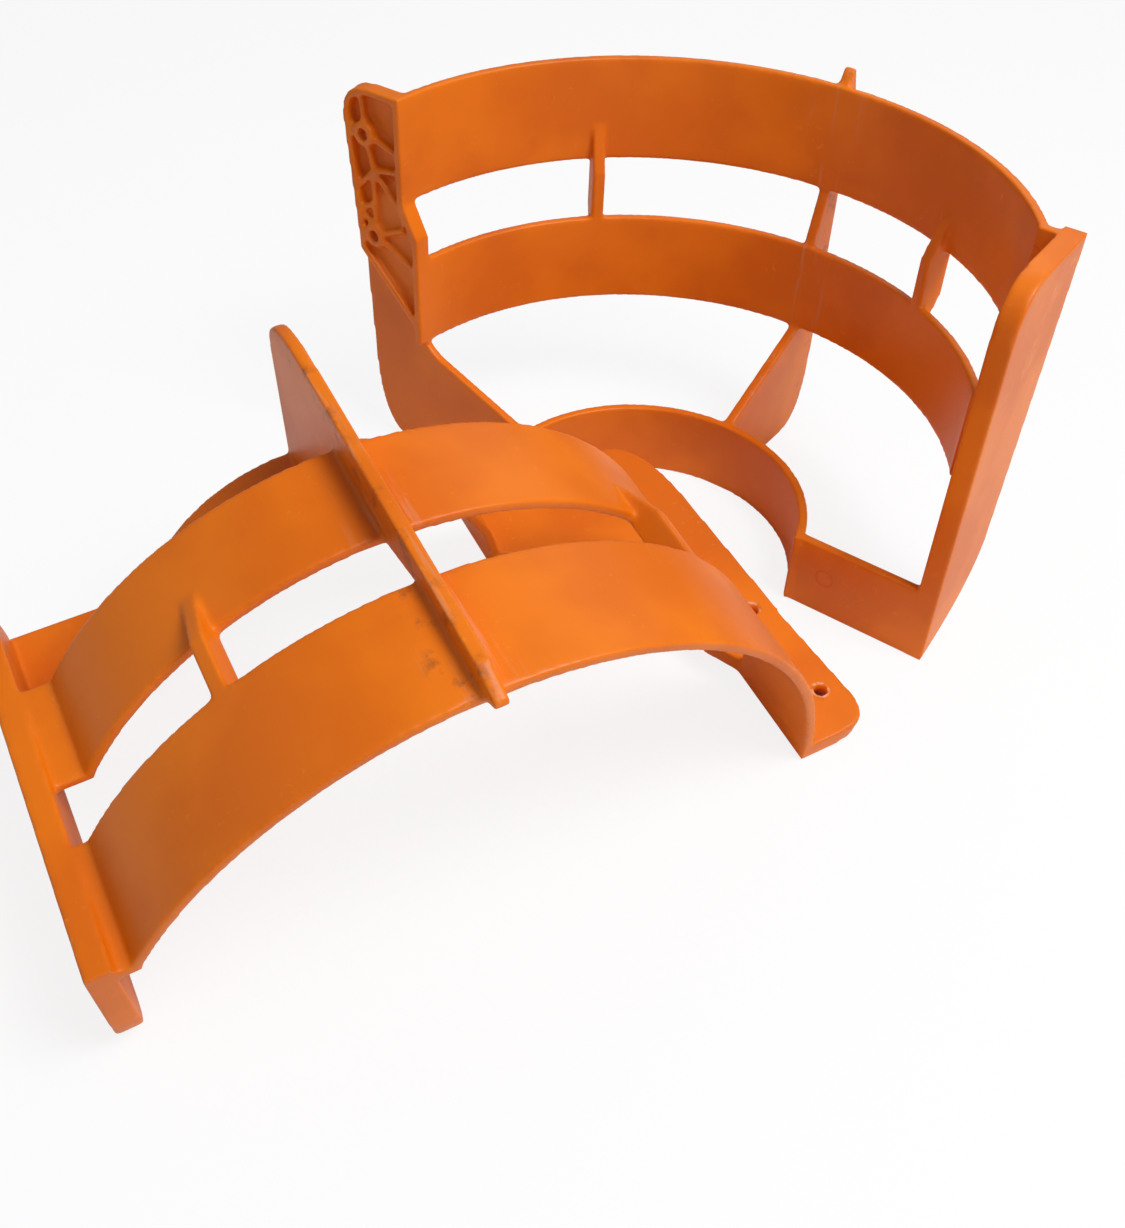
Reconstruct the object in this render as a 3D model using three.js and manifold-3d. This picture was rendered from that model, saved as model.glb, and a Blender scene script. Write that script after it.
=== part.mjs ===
// Two-part moulded propeller guard for an outboard motor, shown taken apart.
// One half stands on its small end and its mirror image lies in front of it on its flanges.
// Half frame: X across the guard, from the bolting pad (-) to the top flange (+);
// Y outwards from the plane where the halves meet; Z along the propeller axis, small end at 0.
// Millimetres.
import * as THREE from "three";
import { mergeVertices } from "three/addons/utils/BufferGeometryUtils.js";
import Module from "manifold-3d";

// ---- driving dimensions ----
const gap = 0.3; // clearance between touching sub-parts
const wideInner = 165; // inner radius of the wide band
const middleInner = 156; // inner radius of the middle band
const smallInner = 83; // inner radius of the small band
const bandWall = 5;
const wideHeight = 57;
const middleHeight = 51;
const smallHeight = 43;
const bandSpacing = 32; // open slot between neighbouring bands
const bladeThickness = 6; // fin and ribs
const lowRibAngle = 136;
const highRibAngle = 61;
const finAngle = 90;
const finOuter = 180; // outer edge of the fin from the axis
const finTip = 8; // the fin stands this far past the wide rim
const finCorner = 24;
const ribRun = 26; // how far a rib tapers over each band
const flangeX = 162; // outer face of the top flange
const flangeThickness = 11;
const flangeFront = 22; // edge of the top flange nearest the joint plane
const flangeBack = 92; // edge of the top flange at the wide end
const flangeBackLow = 80; // the same edge where it starts to curve in
const flangeCorner = 26;
const flangeSweep = 44; // height of the curve at the small end
const webWall = 5; // webs and walls that tie bands to flanges
const padWidth = 40; // bolting pad, outwards from the wide band
const padDepth = 10; // pad thickness, back from the joint plane
const padLength = 92; // straight part of the pad from the wide rim
const padPoint = 30; // pointed lower end of the pad
const padCorner = 16;
const padSkin = 3.5; // smooth outer face of the pad
const padRim = 4; // rim and ribs of the cored side
const boltHole = 7; // clearance hole for a 6 mm bolt
const bossRing = 3.5; // wall of the round boss at a bolt hole
const firstHoleDrop = 25; // first hole below the wide rim
const holeSpacing = 57;
const holeInset = 14; // bolt holes from the outer edge of the pad
const padTaper = 12; // the outer edge moves in by this much at the small end
const laidTurn = -25.4; // degrees, heading of the laid half's wide end
const laidTilt = 9.1; // degrees, its small end is propped up by this much
const laidPlace = [74, -224]; // wide-rim centre of the laid half from the axis of the upright one
const arcSteps = 40;

// ---- heights and places worked out from them ----
const smallTop = smallHeight;
const middleBottom = smallTop + bandSpacing;
const middleTop = middleBottom + middleHeight;
const wideBottom = middleTop + bandSpacing;
const wideTop = wideBottom + wideHeight;
const wideOuter = wideInner + bandWall;
const middleOuter = middleInner + bandWall;
const smallOuter = smallInner + bandWall;
const flangeInnerX = flangeX - flangeThickness;
const padInner = -wideInner;
const padOuter = -(wideOuter + padWidth - bandWall);
const firstHole = wideTop - firstHoleDrop;
const secondHole = firstHole - holeSpacing;
const holeX = padOuter + holeInset;
const padBottom = wideTop - padLength;
const radians = (degrees) => (degrees * Math.PI) / 180;

// ---- shape helpers ----
const wasm = await Module();
wasm.setup();

function outline(points) {
  const shape = new THREE.Shape();
  points.forEach(([u, v], i) => (i ? shape.lineTo(u, v) : shape.moveTo(u, v)));
  shape.closePath();
  return shape;
}

// Extrudes a shape so that its axes become the given directions, starting at the offset.
function slab(shape, depth, [right, up, out], offset) {
  const options = { depth, bevelEnabled: false, curveSegments: 10 };
  const geometry = new THREE.ExtrudeGeometry(shape, options);
  geometry.applyMatrix4(new THREE.Matrix4().makeBasis(right, up, out));
  geometry.translate(...offset);
  return geometry;
}

const X = new THREE.Vector3(1, 0, 0);
const Y = new THREE.Vector3(0, 1, 0);
const Z = new THREE.Vector3(0, 0, 1);
const lengthwise = [Y, Z, X]; // outline in Y and Z, thickness along +X
const facing = [X, Z, new THREE.Vector3(0, -1, 0)]; // outline in X and Z, thickness towards -Y

// Plate facing the joint plane, with its near face at the given Y.
const facingPlate = (shape, near, depth) => slab(shape, depth, facing, [0, near + depth, 0]);

function toSolid(geometry) {
  const plain = new THREE.BufferGeometry();
  plain.setAttribute("position", geometry.getAttribute("position"));
  if (geometry.index) plain.setIndex(geometry.index);
  const merged = mergeVertices(plain, 1e-4);
  return new wasm.Manifold(new wasm.Mesh({
    numProp: 3,
    vertProperties: new Float32Array(merged.getAttribute("position").array),
    triVerts: new Uint32Array(merged.index.array),
  }));
}

function toGeometry(solid) {
  const mesh = solid.getMesh();
  const geometry = new THREE.BufferGeometry();
  geometry.setAttribute("position", new THREE.BufferAttribute(mesh.vertProperties, 3));
  geometry.setIndex(new THREE.BufferAttribute(mesh.triVerts, 1));
  geometry.computeVertexNormals();
  return geometry;
}

function mirrored(geometry) {
  const flipped = mergeVertices(geometry.clone().deleteAttribute("normal").deleteAttribute("uv"), 1e-4);
  flipped.scale(-1, 1, 1);
  const index = flipped.index.array;
  for (let i = 0; i < index.length; i += 3) [index[i], index[i + 1]] = [index[i + 1], index[i]];
  flipped.computeVertexNormals();
  return flipped;
}

// ---- bands ----
// Angle at which a circle of this radius is the given height above the joint plane.
const endAngle = (radius, y) => Math.asin(y / radius);

function ringSector(inner, outer, bottom, height, from, to) {
  const steps = Array.from({ length: arcSteps + 1 }, (_, i) => from + ((to - from) * i) / arcSteps);
  const onCircle = (radius) => (a) => [radius * Math.cos(a), radius * Math.sin(a)];
  const points = [...steps.map(onCircle(outer)), ...steps.reverse().map(onCircle(inner))];
  return slab(outline(points), height, [X, Y, Z], [0, 0, bottom]);
}

const band = (inner, bottom, height, from, to) =>
  ringSector(inner, inner + bandWall, bottom, height, from, to);

const flangeBackAt = (z) =>
  flangeBackLow + ((flangeBack - flangeBackLow) * (z - flangeSweep)) / (wideTop - flangeSweep);
const wideStart = endAngle(wideOuter, flangeBackAt(wideBottom));
const middleStart = endAngle(middleOuter, flangeBackAt(middleBottom));
const padEnd = (radius) => Math.PI - endAngle(radius, gap);
const smallStart = endAngle(smallInner, flangeFront);

const wideBand = () => band(wideInner, wideBottom, wideHeight, wideStart, padEnd(wideInner));
const middleBand = () => band(middleInner, middleBottom, middleHeight, middleStart, padEnd(middleInner));
const smallBand = () => band(smallInner, 0, smallHeight, smallStart, padEnd(smallInner));

// ---- blades that run along the guard ----
// A blade stands on a radius, with its outline in radius and height.
function blade(shape, angle) {
  const a = radians(angle);
  const outwards = new THREE.Vector3(Math.cos(a), Math.sin(a), 0);
  const across = new THREE.Vector3(Math.sin(a), -Math.cos(a), 0);
  const start = across.clone().multiplyScalar(-bladeThickness / 2);
  return slab(shape, bladeThickness, [outwards, Z, across], start.toArray());
}

// A flat blade meets a round band, so it starts this much further out to clear it.
const clearOf = (radius) => radius + gap;

function fin() {
  const rimStep = 7; // the tip leans in over the rim
  const shape = new THREE.Shape();
  shape.moveTo(clearOf(wideOuter), wideTop);
  shape.lineTo(clearOf(wideOuter), wideBottom - gap);
  shape.lineTo(wideInner, wideBottom - gap);
  shape.lineTo(middleInner, middleTop + gap);
  shape.lineTo(clearOf(middleOuter), middleTop + gap);
  shape.lineTo(clearOf(middleOuter), middleBottom - gap);
  shape.lineTo(middleInner, middleBottom - gap);
  shape.lineTo(middleInner - rimStep, middleBottom - rimStep);
  shape.lineTo(clearOf(smallOuter), smallTop);
  shape.lineTo(clearOf(smallOuter), 0);
  shape.lineTo(finOuter - finCorner, 0);
  shape.quadraticCurveTo(finOuter, 0, finOuter, finCorner * 2);
  shape.lineTo(finOuter, wideTop - rimStep);
  shape.lineTo(clearOf(wideOuter) + rimStep / 2, wideTop + finTip);
  shape.lineTo(clearOf(wideOuter), wideTop + finTip);
  shape.closePath();
  return blade(shape, finAngle);
}

function rib(angle) {
  return blade(outline([
    [wideInner - gap, wideBottom + ribRun],
    [wideInner - gap, wideBottom - gap],
    [wideOuter, wideBottom - gap],
    [wideOuter, middleTop + bandWall],
    [clearOf(middleOuter), middleTop - ribRun],
    [clearOf(middleOuter), middleTop + gap],
    [middleInner, middleTop + gap],
    [middleInner, wideBottom - bandWall],
  ]), angle);
}

// ---- bolting pad and the web below it ----
const padTaperAt = (z) => padOuter + (padTaper * (wideTop - z)) / wideTop;

function padOutline(inset) {
  const top = wideTop - inset;
  const shape = new THREE.Shape();
  const right = padInner - bandWall - gap - inset;
  const left = padOuter + inset;
  const lowLeft = padTaperAt(padBottom) + inset;
  shape.moveTo(right, top);
  shape.lineTo(right, padBottom - padPoint + 2 * inset);
  shape.lineTo(lowLeft, padBottom);
  shape.lineTo(left, top - padCorner);
  shape.quadraticCurveTo(left, top, left + padCorner, top);
  shape.closePath();
  return shape;
}

function bar(from, to, width) {
  const along = new THREE.Vector2(to[0] - from[0], to[1] - from[1]).normalize();
  const side = new THREE.Vector2(-along.y, along.x).multiplyScalar(width / 2);
  return outline([
    [from[0] + side.x, from[1] + side.y],
    [from[0] - side.x, from[1] - side.y],
    [to[0] - side.x, to[1] - side.y],
    [to[0] + side.x, to[1] + side.y],
  ]);
}

function disc(u, v, radius) {
  const shape = new THREE.Shape();
  shape.absarc(u, v, radius, 0, Math.PI * 2);
  return shape;
}

function boltingPad() {
  const ribBack = padDepth - padSkin / 2; // ribs sink into the skin
  const right = padInner - bandWall - gap - padRim / 2;
  const left = padOuter + padRim / 2;
  const middle = (firstHole + secondHole) / 2;
  const bossRadius = boltHole / 2 + bossRing;
  const ribs = [
    [[holeX, firstHole], [holeX, wideTop - padRim / 2]],
    [[left, firstHole], [right, firstHole - padRim]],
    [[holeX, firstHole], [holeX + padRim, middle + bossRadius]],
    [[holeX + padRim, middle + bossRadius], [right, secondHole + bossRadius]],
    [[holeX + padRim, middle + bossRadius], [left + padRim, secondHole + bossRadius]],
    [[holeX, middle], [holeX, secondHole]],
    [[left, secondHole], [right, secondHole - padRim * 2]],
  ];
  const pocket = toSolid(facingPlate(padOutline(padRim), -1, padDepth - padSkin + 1));
  let solid = toSolid(facingPlate(padOutline(0), 0, padDepth)).subtract(pocket);
  for (const [from, to] of ribs) {
    const ribShape = bar(from, to, padRim * 0.75);
    solid = solid.add(toSolid(facingPlate(ribShape, 1, ribBack - 1)));
  }
  for (const z of [firstHole, secondHole]) {
    solid = solid.add(toSolid(facingPlate(disc(holeX, z, bossRadius), 0, ribBack)));
  }
  const inside = toSolid(facingPlate(padOutline(0), -1, padDepth + 2));
  solid = solid.intersect(inside);
  for (const z of [firstHole, secondHole]) {
    solid = solid.subtract(toSolid(facingPlate(disc(holeX, z, boltHole / 2), -1, padDepth + 2)));
  }
  return toGeometry(solid);
}

function padWeb() {
  const right = padInner - bandWall - gap;
  const nose = padBottom - padPoint;
  const lowOuter = padTaperAt(0);
  const shape = new THREE.Shape();
  const drop = gap * 2;
  shape.moveTo(padTaperAt(padBottom), padBottom - drop);
  shape.lineTo(right, nose - drop);
  shape.lineTo(right, middleBottom - gap);
  shape.lineTo(-middleInner, middleBottom - gap);
  shape.lineTo(-middleInner + bandWall, middleBottom - bandWall - gap);
  shape.lineTo(-clearOf(smallOuter), smallTop);
  shape.lineTo(-clearOf(smallOuter), 0);
  shape.lineTo(lowOuter + finCorner, 0);
  shape.quadraticCurveTo(lowOuter, 0, lowOuter - padTaper / 4, finCorner * 2);
  shape.closePath();
  return facingPlate(shape, padDepth - webWall, webWall);
}

// Strip beside the middle band and across the slot above it, set in from the pad.
function padStep() {
  const left = padInner - bandWall;
  const shape = outline([
    [left, wideBottom - gap],
    [padInner, wideBottom - gap],
    [-middleInner - bandWall / 2, middleTop + bandWall],
    [-middleInner - bandWall / 2, middleTop + gap],
    [-clearOf(middleOuter), middleTop + gap],
    [-clearOf(middleOuter), middleBottom],
    [left, middleBottom],
  ]);
  return facingPlate(shape, padDepth - webWall - 2, webWall + 2);
}

// ---- top flange, its webs and the small-end wall ----
function topFlange() {
  const shape = new THREE.Shape();
  shape.moveTo(flangeBack, wideTop);
  shape.lineTo(flangeFront + flangeCorner, wideTop);
  shape.quadraticCurveTo(flangeFront, wideTop, flangeFront, wideTop - flangeCorner);
  shape.lineTo(flangeFront, 0);
  shape.quadraticCurveTo(flangeBackLow - 6, flangeSweep / 3, flangeBackLow, flangeSweep);
  shape.closePath();
  return slab(shape, flangeThickness, lengthwise, [flangeInnerX, 0, 0]);
}

// Ties the end of a band to the top flange, flush with the flange's back edge.
function endWeb(inner, startAngle, bottom, height) {
  const start = inner * Math.cos(startAngle);
  const back = flangeBackAt(bottom);
  const shape = outline([
    [start, bottom],
    [flangeInnerX - gap, bottom],
    [flangeInnerX - gap, bottom + height],
    [start, bottom + height],
  ]);
  const plain = toSolid(facingPlate(shape, back - webWall, webWall));
  const clearance = gap / inner;
  const bandSpace = ringSector(inner - gap, inner + bandWall + gap, bottom - 1, height + 2,
    startAngle - clearance, startAngle + 1);
  return toGeometry(plain.subtract(toSolid(bandSpace)));
}

const wideEndWeb = () => endWeb(wideInner, wideStart, wideBottom, wideHeight);
const middleEndWeb = () => endWeb(middleInner, middleStart, middleBottom, middleHeight);

function smallEndWall() {
  const start = smallOuter * Math.cos(smallStart) + gap;
  const shape = outline([
    [start, 0],
    [flangeInnerX - gap, 0],
    [flangeInnerX - gap, smallHeight],
    [start, smallHeight],
  ]);
  return facingPlate(shape, flangeFront, webWall);
}

// ---- one half ----
const orange = new THREE.MeshStandardMaterial({ color: 0xe0661a, roughness: 0.45, metalness: 0 });
const pieces = {
  wide_band: wideBand,
  middle_band: middleBand,
  small_band: smallBand,
  side_fin: fin,
  low_rib: () => rib(lowRibAngle),
  high_rib: () => rib(highRibAngle),
  bolting_pad: boltingPad,
  pad_step: padStep,
  pad_web: padWeb,
  top_flange: topFlange,
  wide_end_web: wideEndWeb,
  middle_end_web: middleEndWeb,
  small_end_wall: smallEndWall,
};

function half(prefix, isMirrored) {
  const group = new THREE.Group();
  for (const [name, make] of Object.entries(pieces)) {
    const geometry = isMirrored ? mirrored(make()) : make();
    const mesh = new THREE.Mesh(geometry, orange);
    mesh.name = prefix + name;
    group.add(mesh);
  }
  return group;
}

// ---- the pair ----
const upright = half("upright_", false);
const laid = half("laid_", true);

// The laid half touches the floor with the wide-end corners of its flange and its pad,
// and is tilted about the line through them.
const flangeContact = new THREE.Vector3(-flangeX, flangeFront, wideTop - flangeCorner);
const padContact = new THREE.Vector3(-padInner, 0, wideTop);
const laidRoll = Math.atan2(flangeFront, flangeX - padInner);
const heading = new THREE.Vector3(Math.cos(radians(laidTurn)), Math.sin(radians(laidTurn)), 0);
const across = new THREE.Vector3().crossVectors(Z, heading);
const rolledAcross = across.clone().multiplyScalar(Math.cos(laidRoll)).addScaledVector(Z, Math.sin(laidRoll));
const rolledUp = Z.clone().multiplyScalar(Math.cos(laidRoll)).addScaledVector(across, -Math.sin(laidRoll));
const rolled = new THREE.Matrix4().makeBasis(rolledAcross, rolledUp, heading);
const contactLine = padContact.clone().sub(flangeContact).applyMatrix4(rolled).normalize();
const turned = new THREE.Matrix4().makeRotationAxis(contactLine, radians(laidTilt)).multiply(rolled);
const rimCentre = new THREE.Vector3(0, 0, wideTop).applyMatrix4(turned);
laid.applyMatrix4(turned);
laid.position.set(laidPlace[0] - rimCentre.x, laidPlace[1] - rimCentre.y, 0);

const guard = new THREE.Group();
guard.add(upright, laid);
guard.updateMatrixWorld(true);
const laidBox = new THREE.Box3().setFromObject(laid, true);
laid.position.z -= laidBox.min.z;
guard.updateMatrixWorld(true);
const box = new THREE.Box3().setFromObject(guard, true);
guard.position.set(-(box.min.x + box.max.x) / 2, -(box.min.y + box.max.y) / 2, -box.min.z);

export default guard;
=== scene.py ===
import math

import bmesh
import bpy
from mathutils import Matrix, Vector


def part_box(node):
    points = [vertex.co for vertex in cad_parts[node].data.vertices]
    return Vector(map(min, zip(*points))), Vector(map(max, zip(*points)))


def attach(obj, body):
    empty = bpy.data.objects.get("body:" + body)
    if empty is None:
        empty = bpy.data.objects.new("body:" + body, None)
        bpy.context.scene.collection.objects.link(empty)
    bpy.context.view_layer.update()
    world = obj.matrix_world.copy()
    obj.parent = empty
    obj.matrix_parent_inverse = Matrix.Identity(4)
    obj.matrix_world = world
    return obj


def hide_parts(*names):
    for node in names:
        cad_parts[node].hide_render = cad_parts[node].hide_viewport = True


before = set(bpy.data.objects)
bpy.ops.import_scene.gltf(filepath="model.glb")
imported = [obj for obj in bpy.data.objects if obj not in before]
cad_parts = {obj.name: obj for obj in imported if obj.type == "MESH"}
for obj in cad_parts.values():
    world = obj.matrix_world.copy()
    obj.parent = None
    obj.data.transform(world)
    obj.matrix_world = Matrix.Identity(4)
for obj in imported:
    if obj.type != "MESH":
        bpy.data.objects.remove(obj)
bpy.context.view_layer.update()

bl_info = {
    "name": "Outboard propeller guard",
    "version": (1, 0, 0),
    "blender": (4, 5, 0),
    "location": "View3D > Sidebar > Guard",
    "description": "A two-part moulded propeller guard, taken apart, on a plain studio floor",
    "category": "Object",
}

MEMBERS = (
    "wide_band", "middle_band", "small_band", "side_fin", "low_rib", "high_rib", "bolting_pad",
    "pad_step", "pad_web", "top_flange", "wide_end_web", "middle_end_web", "small_end_wall",
)


# ---- sizes read from the frame, where the upright half stands square ----
# Half frame, in metres: X across from the axis (pad negative, flange positive), Y outwards
# from the joint plane, Z up the propeller axis from the small end.
def upright(member):
    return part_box("upright_" + member)


AXIS = Vector((
    (upright("side_fin")[0].x + upright("side_fin")[1].x) / 2,
    upright("bolting_pad")[0].y,
    0,
))


class Extent:
    """One member of the upright half as lowest and highest values in the half frame."""

    def __init__(self, member):
        low, high = upright(member)
        self.low, self.high = low - AXIS, high - AXIS


WIDE = Extent("wide_band")
MIDDLE = Extent("middle_band")
SMALL = Extent("small_band")
FIN = Extent("side_fin")
PAD = Extent("bolting_pad")
FLANGE = Extent("top_flange")
WIDE_WEB = Extent("wide_end_web")
MIDDLE_WEB = Extent("middle_end_web")
WALL = Extent("small_end_wall")
TOP = WIDE.high.z


# ---- what a user can change ----
def length(name, default, about):
    return bpy.props.FloatProperty(
        name=name, default=default, min=0.0001, unit="LENGTH", precision=4, description=about
    )


def angle(name, default, about):
    return bpy.props.FloatProperty(
        name=name, default=math.radians(default), subtype="ANGLE", description=about
    )


def colour(name, default, about):
    return bpy.props.FloatVectorProperty(
        name=name, default=default, size=4, min=0, max=1, subtype="COLOR", description=about
    )


class GuardSizes(bpy.types.PropertyGroup):
    band_wall: length("Band wall", 0.005, "Thickness of the three bands")
    rib_wall: length("Rib wall", 0.007, "Thickness of the two short ribs")
    rib_run: length("Rib run", 0.026, "How far a rib tapers over each band")
    fin_tip: length("Fin tip", 0.005, "Radial width of the fin where it passes the wide rim")
    fin_corner: length("Fin corner", 0.024, "Rounding of the fin at the small end")
    pad_skin: length("Pad skin", 0.0035, "Smooth outer face of the bolting pad")
    pad_rim: length("Pad rim", 0.0038, "Rim of the cored side of the pad")
    pad_rib: length("Pad rib", 0.0032, "Ribs of the cored side of the pad")
    pad_corner: length("Pad corner", 0.017, "Rounding of the pad's free corner")
    bolt_hole: length("Bolt hole", 0.007, "Clearance hole for a 6 mm bolt")
    boss_ring: length("Boss ring", 0.0034, "Wall round each bolt hole")
    pad_shoulder: length("Pad shoulder", 0.030, "Where the free edge turns in, above the pad's foot")
    pad_draft: length("Pad draft", 0.007, "How far the free edge has come in at the shoulder")
    pad_nose: length("Pad nose", 0.012, "How far the pointed end reaches below the pad's foot")
    pad_notch: length("Pad notch", 0.014, "Where the pad steps back above the middle band")
    hole_inset: length("Hole inset", 0.014, "Bolt holes from the pad's free edge")
    hole_drift: length("Hole drift", 0.0035, "How far the lower hole lies nearer the bands")
    first_hole: length("First hole", 0.025, "First hole below the wide rim")
    hole_spacing: length("Hole spacing", 0.057, "From hole to hole")
    flange_corner: length("Flange corner", 0.026, "Rounding of the flange at the wide rim")
    flange_low_back: length("Flange low back", 0.080, "Back edge of the flange above the sweep")
    flange_sweep: length("Flange sweep", 0.044, "Height of the curve at the small end")
    web_wall: length("Web wall", 0.005, "Webs that tie the bands to pad and flange")
    web_taper: length("Web taper", 0.012, "How far the pad web has come in at the small end")
    web_nook: length("Web nook", 0.008, "Rounding of the pad web under the middle band")
    pin_ring: length("Pin ring", 0.0048, "Radius of an ejector pin's mark")
    grain: length("Mesh grain", 0.001, "Cell of the remesh that blends the members together")
    low_rib: angle("Low rib", 136, "Place of the rib nearer the pad, from the flange")
    high_rib: angle("High rib", 61, "Place of the rib nearer the flange")
    laid_turn: angle("Laid turn", -25.4, "Heading of the laid half's wide end")
    laid_tilt: angle("Laid tilt", 9.1, "How far its small end is propped up")


class GuardFinish(bpy.types.PropertyGroup):
    orange: colour("Orange", (0.82, 0.185, 0.003, 1), "Main colour of the moulding")
    deep_orange: colour("Deep orange", (0.72, 0.145, 0.002, 1), "Darker drifts in the colour")
    pale_orange: colour("Pale orange", (0.88, 0.30, 0.030, 1), "Dusty flecks and rubbed edges")
    scuff: colour("Scuff", (0.62, 0.34, 0.22, 1), "Whitish rubs beside the fin")
    chip: colour("Chip", (0.85, 0.62, 0.45, 1), "Pale chips round the bolt holes")
    pin_tint: colour("Pin tint", (0.72, 0.07, 0.0, 1), "Dark line of an ejector pin's mark")
    grime: colour("Grime", (0.16, 0.045, 0.02, 1), "Dark marks at the foot of the fin")
    floor: colour("Floor", (0.93, 0.93, 0.93, 1), "Studio floor")


# ---- outlines: lists of points in a plane ----
def bow(start, corner, end, steps=10):
    """Points of a quadratic curve from start to end that bends towards corner."""
    points = []
    for i in range(steps + 1):
        t = i / steps
        points.append(tuple(
            (1 - t) ** 2 * a + 2 * t * (1 - t) * b + t * t * c
            for a, b, c in zip(start, corner, end)
        ))
    return points


def ring(centre, radius, steps=40):
    """Points of a full circle."""
    turn = 2 * math.pi / steps
    return [
        (centre[0] + radius * math.cos(i * turn), centre[1] + radius * math.sin(i * turn))
        for i in range(steps)
    ]


def bar(start, end, width):
    """Four corners of a straight bar."""
    a, b = Vector(start), Vector(end)
    side = (b - a).normalized().orthogonal() * width / 2
    return [a + side, a - side, b - side, b + side]


# ---- solids ----
def prism(bm, outline, place, depth):
    """Adds a closed solid: the outline, put in space by place(u, v), drawn out by depth."""
    face = bm.faces.new([bm.verts.new(place(*point)) for point in outline])
    grown = bmesh.ops.extrude_face_region(bm, geom=[face])["geom"]
    moved = [item for item in grown if isinstance(item, bmesh.types.BMVert)]
    bmesh.ops.translate(bm, verts=moved, vec=depth)


def facing(bm, outline, near, far):
    """A plate that faces the joint plane, between two distances from it."""
    prism(bm, outline, lambda x, z: Vector((x, near, z)), Vector((0, far - near, 0)))


def lengthwise(bm, outline, low, high):
    """A plate that stands along the guard, between two places across it."""
    prism(bm, outline, lambda y, z: Vector((low, y, z)), Vector((high - low, 0, 0)))


def blade(bm, outline, place_angle, thickness):
    """A plate that stands on a radius, its outline in radius and height."""
    outwards = Vector((math.cos(place_angle), math.sin(place_angle), 0))
    across = Vector((-outwards.y, outwards.x, 0))
    prism(
        bm, outline,
        lambda r, z: outwards * r + Vector((0, 0, z)) - across * thickness / 2,
        across * thickness,
    )


def band(bm, extent, wall, start, steps=72):
    """Part of a ring, spun from its end at the flange to its end at the pad."""
    outer = extent.high.y
    corners = [
        (outer - wall, extent.low.z), (outer, extent.low.z),
        (outer, extent.high.z), (outer - wall, extent.high.z),
    ]
    verts = [
        bm.verts.new((r * math.cos(start), r * math.sin(start), z)) for r, z in corners
    ]
    face = bm.faces.new(verts)
    bmesh.ops.spin(
        bm, geom=verts + face.edges[:] + [face], cent=(0, 0, 0), axis=(0, 0, 1),
        dvec=(0, 0, 0), angle=math.pi - start, steps=steps, use_duplicate=False,
    )


# ---- members of one half ----
def add_bands(bm, s):
    """The three bands, each from the plate at its flange end round to the pad."""
    ends = (WIDE, WIDE_WEB.high.y), (MIDDLE, MIDDLE_WEB.high.y), (SMALL, WALL.low.y)
    for extent, back in ends:
        band(bm, extent, s.band_wall, math.asin(back / extent.high.y))


def add_fin(bm, s):
    """The long blade down the outside of the bands, with its tip at the wide rim."""
    lean = 0.0015  # how far the foot of the tip spreads over the wide rim
    inside = s.band_wall / 2
    shy = s.band_wall * 0.8  # short of the bands' inner faces, so that no line shows there
    middle_inner = MIDDLE.high.y - shy
    rim_step = 0.015  # length of the slope below the tip
    blade(bm, [
        (WIDE.high.y - inside, TOP + lean),
        (WIDE.high.y - shy, TOP - 0.001),
        (WIDE.high.y - shy, WIDE.low.z),
        (middle_inner, MIDDLE.high.z),
        (middle_inner, MIDDLE.low.z),
        (SMALL.high.y, SMALL.high.z),
        (SMALL.high.y - inside, SMALL.high.z - inside),
        (SMALL.high.y - inside, 0),
        *bow((FIN.high.y - s.fin_corner, 0), (FIN.high.y, 0), (FIN.high.y, 2 * s.fin_corner)),
        (FIN.high.y, FIN.high.z - rim_step),
        (WIDE.high.y + s.fin_tip, FIN.high.z),
        (WIDE.high.y + lean, FIN.high.z),
    ], math.pi / 2, FIN.high.x - FIN.low.x)


def add_ribs(bm, s):
    """Short ribs across the slot between the wide and middle bands, tapering over each."""
    wide_inner = WIDE.high.y - s.band_wall
    middle_inner = MIDDLE.high.y - s.band_wall
    for place_angle in (s.low_rib, s.high_rib):
        blade(bm, [
            (wide_inner + s.band_wall / 3, WIDE.low.z + s.rib_run),
            (WIDE.high.y - s.band_wall / 5, WIDE.low.z + 0.001),
            (WIDE.high.y, WIDE.low.z),
            (WIDE.high.y, MIDDLE.high.z + s.band_wall),
            (MIDDLE.high.y - s.band_wall / 3, MIDDLE.high.z - s.rib_run),
            (middle_inner, MIDDLE.high.z),
            (middle_inner, WIDE.low.z - s.band_wall),
        ], place_angle, s.rib_wall)


def pad_outline(s, inset):
    """The cored side of the pad, with its pointed lower end beside the middle band."""
    left, top = PAD.low.x + inset, TOP - inset
    wide_inner = -(WIDE.high.y - s.band_wall) - inset
    middle_inner = -(MIDDLE.high.y - s.band_wall) - inset
    nose_rise = inset * 2.4  # keeps an inset outline even along the slanted edge
    return [
        (wide_inner, top),
        *bow((left + s.pad_corner, top), (left, top), (left + 0.0008, top - s.pad_corner)),
        (left + s.pad_draft, PAD.low.z + s.pad_shoulder),
        (middle_inner, PAD.low.z - s.pad_nose + nose_rise),
        (middle_inner, MIDDLE.high.z + s.pad_notch),
        (wide_inner, WIDE.low.z - 0.002),
    ]


def hole_places(s):
    """Centres of the two bolt holes, the upper one first."""
    x = PAD.low.x + s.hole_inset
    first = TOP - s.first_hole
    return (x, first), (x + s.hole_drift, first - s.hole_spacing)


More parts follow.
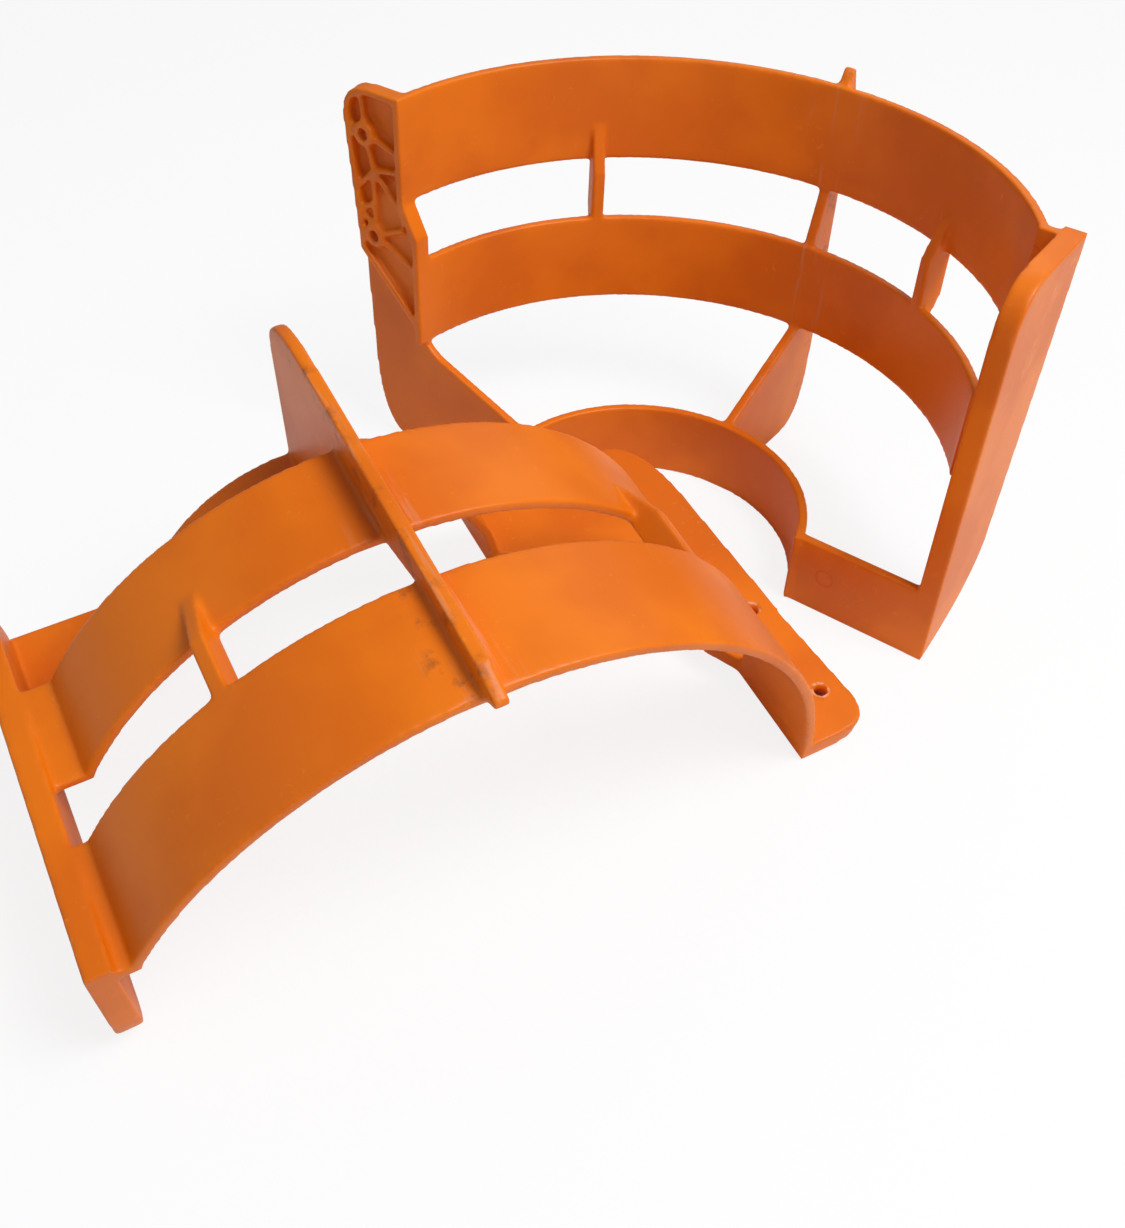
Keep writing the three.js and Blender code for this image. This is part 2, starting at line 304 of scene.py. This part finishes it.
def add_pad(bm, s):
    """The skin, its rim, the bosses and the ribs that run between them."""
    back = PAD.high.y
    outline = pad_outline(s, 0)
    facing(bm, outline, back - s.pad_skin, back)
    rim = pad_outline(s, s.pad_rim / 2)
    for start, end in zip(rim, rim[1:] + rim[:1]):
        facing(bm, bar(start, end, s.pad_rim), 0, back - s.pad_skin / 2)
        facing(bm, ring(end, s.pad_rim / 2, 16), 0, back - s.pad_skin / 2)
    (x1, z1), (x2, z2) = hole_places(s)
    left, right = PAD.low.x + s.pad_rim / 2, -(WIDE.high.y - s.band_wall) - s.pad_rim / 2
    low_right = -(MIDDLE.high.y - s.band_wall) - s.pad_rim / 2
    apex = (x1 + 0.004, (z1 + z2) / 2 + 0.009)
    ribs = (
        ((x1, z1), (x1 - 0.002, TOP - s.pad_rim / 2)),
        ((x1, z1), (left + 0.001, z1 + 0.003)),
        ((x1, z1), (right, z1 - 0.007)),
        ((x1, z1), apex),
        (apex, (right, apex[1] + 0.004)),
        (apex, (left + 0.003, apex[1] - 0.014)),
        (apex, (right - 0.003, apex[1] - 0.016)),
        ((right - 0.003, apex[1] - 0.016), (right, z2 + 0.012)),
        (apex, (x2, z2)),
        ((left + 0.004, apex[1] - 0.026), (x2 + 0.001, apex[1] - 0.018)),
        ((left + 0.004, apex[1] - 0.026), (x2, z2 + 0.006)),
        ((x2, z2), (left + 0.006, z2 + 0.002)),
        ((x2, z2), (right, z2 + 0.009)),
        ((x2, z2), (low_right, z2 - 0.014)),
    )
    for start, end in ribs:
        facing(bm, bar(start, end, s.pad_rib), 0.0012, back - s.pad_skin / 2)
    for centre in hole_places(s):
        facing(bm, ring(centre, s.bolt_hole / 2 + s.boss_ring), 0, back - s.pad_skin / 2)


def add_pad_web(bm, s):
    """The plate below the pad, and the edge that follows the bands beside it."""
    far, near = PAD.high.y, PAD.high.y - s.web_wall
    low = PAD.low.x + s.web_taper
    wide_inner, middle_inner = -(WIDE.high.y - s.band_wall), -(MIDDLE.high.y - s.band_wall)
    small = -(SMALL.high.y - s.band_wall / 2)
    nook = s.web_nook
    facing(bm, [
        (PAD.low.x + 0.005, PAD.low.z + 0.045),
        (low - 0.003, 2 * s.fin_corner),
        *bow((low - 0.003, 2 * s.fin_corner), (low, 0), (low + s.fin_corner, 0))[1:],
        (small, 0),
        (small, SMALL.high.z),
        (small - s.band_wall / 2, SMALL.high.z),
        (middle_inner + nook, MIDDLE.low.z - nook),
        *bow((middle_inner + nook, MIDDLE.low.z - nook), (middle_inner, MIDDLE.low.z - nook / 3),
             (middle_inner - 0.0015, MIDDLE.low.z + 0.001), 6)[1:],
        (middle_inner, MIDDLE.high.z + 0.012),
        (wide_inner, WIDE.low.z),
        (wide_inner - 0.008, WIDE.low.z + 0.012),
    ], near, far)
    facing(bm, [
        (wide_inner - s.pad_rim, WIDE.low.z + 0.001),
        (wide_inner, WIDE.low.z),
        (middle_inner, MIDDLE.high.z + s.pad_notch),
        (middle_inner, MIDDLE.high.z - 0.001),
        (middle_inner - s.pad_rim, MIDDLE.high.z - 0.001),
    ], 0.001, far)


def flange_outline(s):
    """Rounded at the wide rim's front corner, swept in at the small end."""
    front, back = FLANGE.low.y, FLANGE.high.y
    return [
        (back, TOP),
        *bow((front + s.flange_corner, TOP), (front, TOP), (front, TOP - s.flange_corner)),
        (front, 0),
        *bow((front, 0), (s.flange_low_back - 0.006, s.flange_sweep / 3),
             (s.flange_low_back, s.flange_sweep))[1:],
    ]


def add_flange(bm, s):
    """The flange, and the plates and wall that tie the bands' ends to it."""
    overlap = FLANGE.low.x + 0.001
    lengthwise(bm, flange_outline(s), FLANGE.low.x, FLANGE.high.x)
    for web, extent in ((WIDE_WEB, WIDE), (MIDDLE_WEB, MIDDLE)):
        inner = extent.high.y - s.band_wall
        start = inner * math.cos(math.asin(web.high.y / extent.high.y))
        facing(bm, [
            (start, extent.low.z), (overlap, extent.low.z),
            (overlap, extent.high.z), (start, extent.high.z),
        ], web.low.y, web.high.y)
    start = SMALL.high.y * math.cos(math.asin(WALL.low.y / SMALL.high.y)) - s.band_wall * 0.8
    facing(bm, [
        (start, 0), (overlap, 0),
        (overlap, WALL.high.z), (start, WALL.high.z),
    ], WALL.low.y, WALL.high.y)


# ---- from members to one moulding ----
def new_object(name, bm):
    """Turns a bmesh into an object in the scene."""
    mesh = bpy.data.meshes.new(name)
    bm.to_mesh(mesh)
    bm.free()
    piece = bpy.data.objects.new(name, mesh)
    bpy.context.collection.objects.link(piece)
    return piece


def apply_modifiers(piece):
    """Swaps the mesh for what its modifiers make of it."""
    shown = piece.evaluated_get(bpy.context.evaluated_depsgraph_get())
    finished = bpy.data.meshes.new_from_object(shown)
    if not finished.polygons:
        raise RuntimeError("the modifiers left nothing of " + piece.name)
    piece.modifiers.clear()
    old, piece.data = piece.data, finished
    bpy.data.meshes.remove(old)


def hole_cutter(s):
    """Drills for the two bolt holes."""
    bm = bmesh.new()
    for x, z in hole_places(s):
        facing(bm, ring((x, z), s.bolt_hole / 2, 48), -0.002, PAD.high.y + 0.002)
    bmesh.ops.recalc_face_normals(bm, faces=bm.faces)
    return new_object("drills", bm)


def moulding(name, s):
    """One half in the half frame: the members blended into each other with small fillets."""
    bm = bmesh.new()
    for add in (add_bands, add_fin, add_ribs, add_pad, add_pad_web, add_flange):
        add(bm, s)
    bmesh.ops.recalc_face_normals(bm, faces=bm.faces)
    piece = new_object(name, bm)
    blend = piece.modifiers.new("blend", "REMESH")
    blend.mode, blend.voxel_size, blend.adaptivity = "VOXEL", s.grain, 0
    soften = piece.modifiers.new("soften", "SMOOTH")
    soften.factor, soften.iterations = 0.5, 12
    drills = hole_cutter(s)
    drill = piece.modifiers.new("drill", "BOOLEAN")
    drill.operation, drill.object, drill.solver = "DIFFERENCE", drills, "EXACT"
    thin = piece.modifiers.new("thin", "DECIMATE")
    thin.ratio = 0.38
    apply_modifiers(piece)
    bpy.data.objects.remove(drills)
    piece.data.shade_smooth()
    return piece


def laid_matrix(s):
    """Mirrors a half and lays it on the wide-end corners of its flange and its pad."""
    wide_inner = WIDE.high.y - s.band_wall
    flange_contact = Vector((-FLANGE.high.x, FLANGE.low.y, TOP - s.flange_corner))
    pad_contact = Vector((wide_inner, 0, TOP))
    roll = math.atan2(FLANGE.low.y, FLANGE.high.x + wide_inner)
    rolled = (
        Matrix.Rotation(s.laid_turn, 3, "Z")
        @ Matrix(((0, 0, 1), (1, 0, 0), (0, 1, 0)))
        @ Matrix.Rotation(roll, 3, "Z")
    )
    contact_line = rolled @ (pad_contact - flange_contact)
    turned = Matrix.Rotation(s.laid_tilt, 3, contact_line) @ rolled
    return (turned @ Matrix.Diagonal((-1, 1, 1))).to_4x4()


def laid_corner():
    """Lowest corner of the laid half's box in the frame."""
    boxes = [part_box("laid_" + member) for member in MEMBERS]
    return Vector([min(low[i] for low, high in boxes) for i in range(3)])


# ---- materials ----
class Nodes:
    """A material's node tree. make adds a node: its type, its settings, then its inputs by name,
    or by number as i0, i1 and so on where names repeat."""

    def __init__(self, name):
        self.material = bpy.data.materials.new(name)
        self.material.use_nodes = True
        self.tree = self.material.node_tree
        self.tree.nodes.clear()

    def make(self, kind, settings=(), **inputs):
        node = self.tree.nodes.new("ShaderNode" + kind)
        for key, value in dict(settings).items():
            setattr(node, key, value)
        for key, value in inputs.items():
            numbered = key[0] == "i" and key[1:].isdigit()
            self.join(value, node.inputs[int(key[1:]) if numbered else key.replace("_", " ")])
        return node

    def join(self, value, socket):
        if isinstance(value, Value):
            self.tree.links.new(value.socket, socket)
        elif isinstance(value, bpy.types.NodeSocket):
            self.tree.links.new(value, socket)
        else:
            socket.default_value = value

    def value(self, socket):
        return Value(self, socket)

    def mix(self, factor, a, b):
        """Blends two colours."""
        node = self.make("Mix", {"data_type": "RGBA"}, i0=factor, i6=a, i7=b)
        return node.outputs[2]

    def noise(self, vector, scale, detail=2.0, rough=0.5):
        node = self.make("TexNoise", (), Vector=vector, Scale=scale, Detail=detail, Roughness=rough)
        return self.value(node.outputs["Fac"])

    def ramp(self, value, low, high):
        """0 below low and 1 above high, smooth between."""
        node = self.make("MapRange", {"interpolation_type": "SMOOTHSTEP"},
                         Value=value, From_Min=low, From_Max=high, To_Min=0.0, To_Max=1.0)
        return self.value(node.outputs["Result"])


class Value:
    """A number socket that Python's operators work on."""

    def __init__(self, nodes, socket):
        self.nodes, self.socket = nodes, socket

    def _math(self, operation, a, b=0.0):
        node = self.nodes.make("Math", {"operation": operation}, i0=a, i1=b)
        return Value(self.nodes, node.outputs[0])

    def __add__(self, other):
        return self._math("ADD", self, other)

    __radd__ = __add__

    def __sub__(self, other):
        return self._math("SUBTRACT", self, other)

    def __rsub__(self, other):
        return self._math("SUBTRACT", other, self)

    def __mul__(self, other):
        return self._math("MULTIPLY", self, other)

    __rmul__ = __mul__

    def __abs__(self):
        return self._math("ABSOLUTE", self)


def half_place(nodes, matrix):
    """Object coordinates turned back into the half frame, as x, y, z values and a vector."""
    coords = nodes.make("TexCoord").outputs["Object"]
    moved = nodes.make("VectorMath", {"operation": "SUBTRACT"}, i0=coords, i1=matrix.to_translation())
    axes = []
    for direction in matrix.to_3x3().transposed():
        dot = nodes.make("VectorMath", {"operation": "DOT_PRODUCT"},
                         i0=moved.outputs[0], i1=direction)
        axes.append(nodes.value(dot.outputs["Value"]))
    joined = nodes.make("CombineXYZ", (), X=axes[0], Y=axes[1], Z=axes[2])
    return axes, joined.outputs[0]


def near(nodes, value, centre, reach):
    """1 at centre, falling to 0 at reach from it."""
    return 1 - nodes.ramp(abs(value - centre), reach * 0.3, reach)


def distance(nodes, across, up):
    """How far two offsets at right angles reach."""
    off = nodes.make("CombineXYZ", (), X=across, Y=0.0, Z=up).outputs[0]
    reach = nodes.make("VectorMath", {"operation": "LENGTH"}, i0=off)
    return nodes.value(reach.outputs["Value"])


def pin_mark(nodes, x, y, z, centre, s):
    """A ring that an ejector pin left on a face turned towards the joint plane."""
    away = distance(nodes, x - centre[0], z - centre[2])
    return near(nodes, away, s.pin_ring, 0.0009) * near(nodes, y, centre[1], 0.003)


def orange_plastic(name, matrix, s, f):
    """Satin orange plastic: drifting colour, pale flecks, rubs beside the fin, fine grain."""
    nodes = Nodes(name)
    (x, y, z), place = half_place(nodes, matrix)
    drift = nodes.noise(place, 14, 3)
    fleck = nodes.ramp(nodes.noise(place, 240, 3, 0.7), 0.60, 0.74)
    patch = nodes.ramp(nodes.noise(place, 26, 2), 0.50, 0.66)
    tint = nodes.mix(nodes.ramp(drift, 0.38, 0.62), tuple(f.orange), tuple(f.deep_orange))
    tint = nodes.mix(fleck * patch * 0.45, tint, tuple(f.pale_orange))

    streak_place = nodes.make("Mapping", {}, Vector=place, Scale=(260, 260, 22)).outputs[0]
    streak = nodes.ramp(nodes.noise(streak_place, 1, 3, 0.6), 0.55, 0.75)
    beside_fin = near(nodes, x, 0, 0.024) * nodes.ramp(y, SMALL.high.y, MIDDLE.low.y + 0.12)
    rub = nodes.ramp(nodes.noise(place, 60, 4, 0.7), 0.50, 0.70)
    tint = nodes.mix(beside_fin * streak * 0.35, tint, tuple(f.scuff))
    foot = near(nodes, x, 0.008, 0.012) * nodes.ramp(y, WIDE.high.y - 0.003, WIDE.high.y - 0.001)
    tint = nodes.mix(foot * rub * 0.75, tint, tuple(f.grime))

    rim_rub = nodes.ramp(x, FLANGE.high.x - 0.002, FLANGE.high.x) * nodes.ramp(z, 0.10, TOP)
    tint = nodes.mix(rim_rub * rub * 0.6, tint, tuple(f.pale_orange))

    upper, lower = [
        near(nodes, distance(nodes, x - hole_x, z - hole_z), s.bolt_hole / 2 + 0.0003, 0.0012)
        for hole_x, hole_z in hole_places(s)
    ]
    smooth_face = nodes.ramp(y, PAD.high.y - 0.001, PAD.high.y - 0.0003)
    chip = nodes.ramp(nodes.noise(place, 420, 2), 0.42, 0.58)
    tint = nodes.mix((upper + lower) * smooth_face * chip * 0.5, tint, tuple(f.chip))

    wall_pin = (WALL.low.x + 0.016, WALL.low.y, 0.024)
    web_pin = (FLANGE.low.x - 0.009, WIDE_WEB.low.y, TOP - 0.014)
    pins = pin_mark(nodes, x, y, z, wall_pin, s) + pin_mark(nodes, x, y, z, web_pin, s)
    tint = nodes.mix(pins * 0.45, tint, tuple(f.pin_tint))

    grain = nodes.noise(place, 900, 2)
    wave = nodes.noise(place, 45, 2)
    nick = nodes.ramp(nodes.noise(streak_place, 2.2, 2), 0.66, 0.8)
    height = grain * 0.12 + wave * 0.5 - nick * 0.15 - rim_rub * rub * 0.6 - pins * 0.5
    bump = nodes.make("Bump", (), Strength=0.22, Distance=0.0012, Height=height)
    rough = 0.36 + drift * 0.10 + beside_fin * streak * 0.15 + fleck * 0.05
    shader = nodes.make("BsdfPrincipled", (), Base_Color=tint, Roughness=rough,
                        Normal=bump.outputs[0], Specular_IOR_Level=0.30)
    nodes.make("OutputMaterial", (), Surface=shader.outputs[0])
    return nodes.material


def pale_floor(f):
    """White to the camera with the object's shadow kept, and plain pale to all else."""
    nodes = Nodes("floor")
    diffuse = nodes.make("BsdfDiffuse", (), Color=tuple(f.floor)).outputs[0]
    white = nodes.make("Emission", (), Color=(1.0, 1.0, 1.0, 1.0), Strength=1.0).outputs[0]
    seen = nodes.value(nodes.make("LightPath").outputs["Is Camera Ray"])
    blend = nodes.make("MixShader", (), i0=seen * WHITE_SHARE, i1=diffuse, i2=white)
    nodes.make("OutputMaterial", (), Surface=blend.outputs[0])
    return nodes.material


# ---- stage ----
# Each lamp: name, place, size and power.
LAMPS = (
    ("key", (0.9, 0.1, 1.6), 0.8, 26),
    ("fill", (-1.0, -1.2, 1.2), 1.2, 1.5),
    ("back", (-0.3, 1.6, 1.3), 1.2, 3),
)
WORLD_LIGHT = 0.26
WHITE_SHARE = 0.85  # of what the camera sees of the floor; the rest keeps the shadow
CAMERA_PLACE = AXIS + Vector((0.295, -0.505, TOP + 0.284))
CAMERA_RIGHT = Vector((0.808, 0.588, 0.034))
CAMERA_BACK = Vector((0.413, -0.608, 0.678))


def add_area(name, at, size, power):
    """A soft square lamp that looks at the middle of the guard."""
    lamp = bpy.data.lights.new(name, "AREA")
    lamp.size, lamp.energy = size, power
    holder = bpy.data.objects.new(name, lamp)
    holder.location = at
    holder.rotation_euler = (Vector(at) - Vector((0, 0, 0.1))).to_track_quat("Z", "Y").to_euler()
    bpy.context.collection.objects.link(holder)


def add_world(scene):
    """Dim, even light that the camera sees as white."""
    scene.world = bpy.data.worlds.new("studio")
    scene.world.use_nodes = True
    tree = scene.world.node_tree
    seen = tree.nodes.new("ShaderNodeLightPath").outputs["Is Camera Ray"]
    strength = tree.nodes.new("ShaderNodeMapRange")
    strength.inputs["To Min"].default_value = WORLD_LIGHT
    strength.inputs["To Max"].default_value = 1.0
    background = tree.nodes["Background"]
    background.inputs["Color"].default_value = (1, 1, 1, 1)
    tree.links.new(seen, strength.inputs["Value"])
    tree.links.new(strength.outputs["Result"], background.inputs["Strength"])


def add_camera(scene):
    """Looks down on both halves from the front right."""
    camera = bpy.data.cameras.new("camera")
    camera.lens, camera.sensor_width = 40.1, 36
    camera.shift_x, camera.shift_y = -0.0025, -0.0074
    camera.clip_start = 0.01
    back = CAMERA_BACK.normalized()
    up = back.cross(CAMERA_RIGHT.normalized()).normalized()
    right = up.cross(back)
    view = bpy.data.objects.new("camera", camera)
    turn = Matrix((right, up, back)).transposed().to_4x4()
    view.matrix_world = Matrix.Translation(CAMERA_PLACE) @ turn
    scene.collection.objects.link(view)
    scene.camera = view


# ---- operators ----
class GUARD_OT_upright_half(bpy.types.Operator):
    """Make the half that stands on its small end"""

    bl_idname = "guard.upright_half"
    bl_label = "Upright half"

    def execute(self, context):
        s, f = context.scene.guard_sizes, context.scene.guard_finish
        piece = moulding("upright_half_moulding", s)
        matrix = Matrix.Translation(AXIS)
        piece.data.transform(matrix)
        piece.data.materials.append(orange_plastic("upright orange", matrix, s, f))
        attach(piece, "upright_half")
        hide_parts(*["upright_" + member for member in MEMBERS])
        return {"FINISHED"}


class GUARD_OT_laid_half(bpy.types.Operator):
    """Make the mirror-image half that lies in front"""

    bl_idname = "guard.laid_half"
    bl_label = "Laid half"

    def execute(self, context):
        s, f = context.scene.guard_sizes, context.scene.guard_finish
        piece = moulding("laid_half_moulding", s)
        matrix = laid_matrix(s)
        corners = [matrix @ vertex.co for vertex in piece.data.vertices]
        lowest = Vector([min(corner[i] for corner in corners) for i in range(3)])
        matrix = Matrix.Translation(laid_corner() - lowest) @ matrix
        piece.data.transform(matrix)
        piece.data.flip_normals()
        piece.data.materials.append(orange_plastic("laid orange", matrix, s, f))
        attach(piece, "laid_half")
        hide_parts(*["laid_" + member for member in MEMBERS])
        return {"FINISHED"}


class GUARD_OT_stage(bpy.types.Operator):
    """Make the floor, the lights and the camera"""

    bl_idname = "guard.stage"
    bl_label = "Stage"

    def execute(self, context):
        scene = context.scene
        bm = bmesh.new()
        bmesh.ops.create_grid(bm, x_segments=1, y_segments=1, size=12)
        floor = new_object("floor", bm)
        floor.data.materials.append(pale_floor(scene.guard_finish))

        for lamp in LAMPS:
            add_area(*lamp)
        add_world(scene)
        add_camera(scene)
        scene.view_settings.view_transform = "Standard"
        return {"FINISHED"}


class GUARD_PT_panel(bpy.types.Panel):
    """Lists the steps that make the guard"""

    bl_idname = "GUARD_PT_panel"
    bl_label = "Propeller guard"
    bl_space_type = "VIEW_3D"
    bl_region_type = "UI"
    bl_category = "Guard"

    def draw(self, context):
        for group in (context.scene.guard_sizes, context.scene.guard_finish):
            for name in group.bl_rna.properties.keys():
                if name not in ("rna_type", "name"):
                    self.layout.prop(group, name)
        for step in STEPS:
            self.layout.operator(step.bl_idname)


STEPS = (GUARD_OT_stage, GUARD_OT_upright_half, GUARD_OT_laid_half)
CLASSES = (GuardSizes, GuardFinish, *STEPS, GUARD_PT_panel)


def register():
    for cls in CLASSES:
        bpy.utils.register_class(cls)
    bpy.types.Scene.guard_sizes = bpy.props.PointerProperty(type=GuardSizes)
    bpy.types.Scene.guard_finish = bpy.props.PointerProperty(type=GuardFinish)


def unregister():
    del bpy.types.Scene.guard_finish
    del bpy.types.Scene.guard_sizes
    for cls in reversed(CLASSES):
        bpy.utils.unregister_class(cls)


def main():
    register()
    bpy.ops.guard.stage()
    bpy.ops.guard.upright_half()
    bpy.ops.guard.laid_half()


if __name__ == "__main__":
    main()
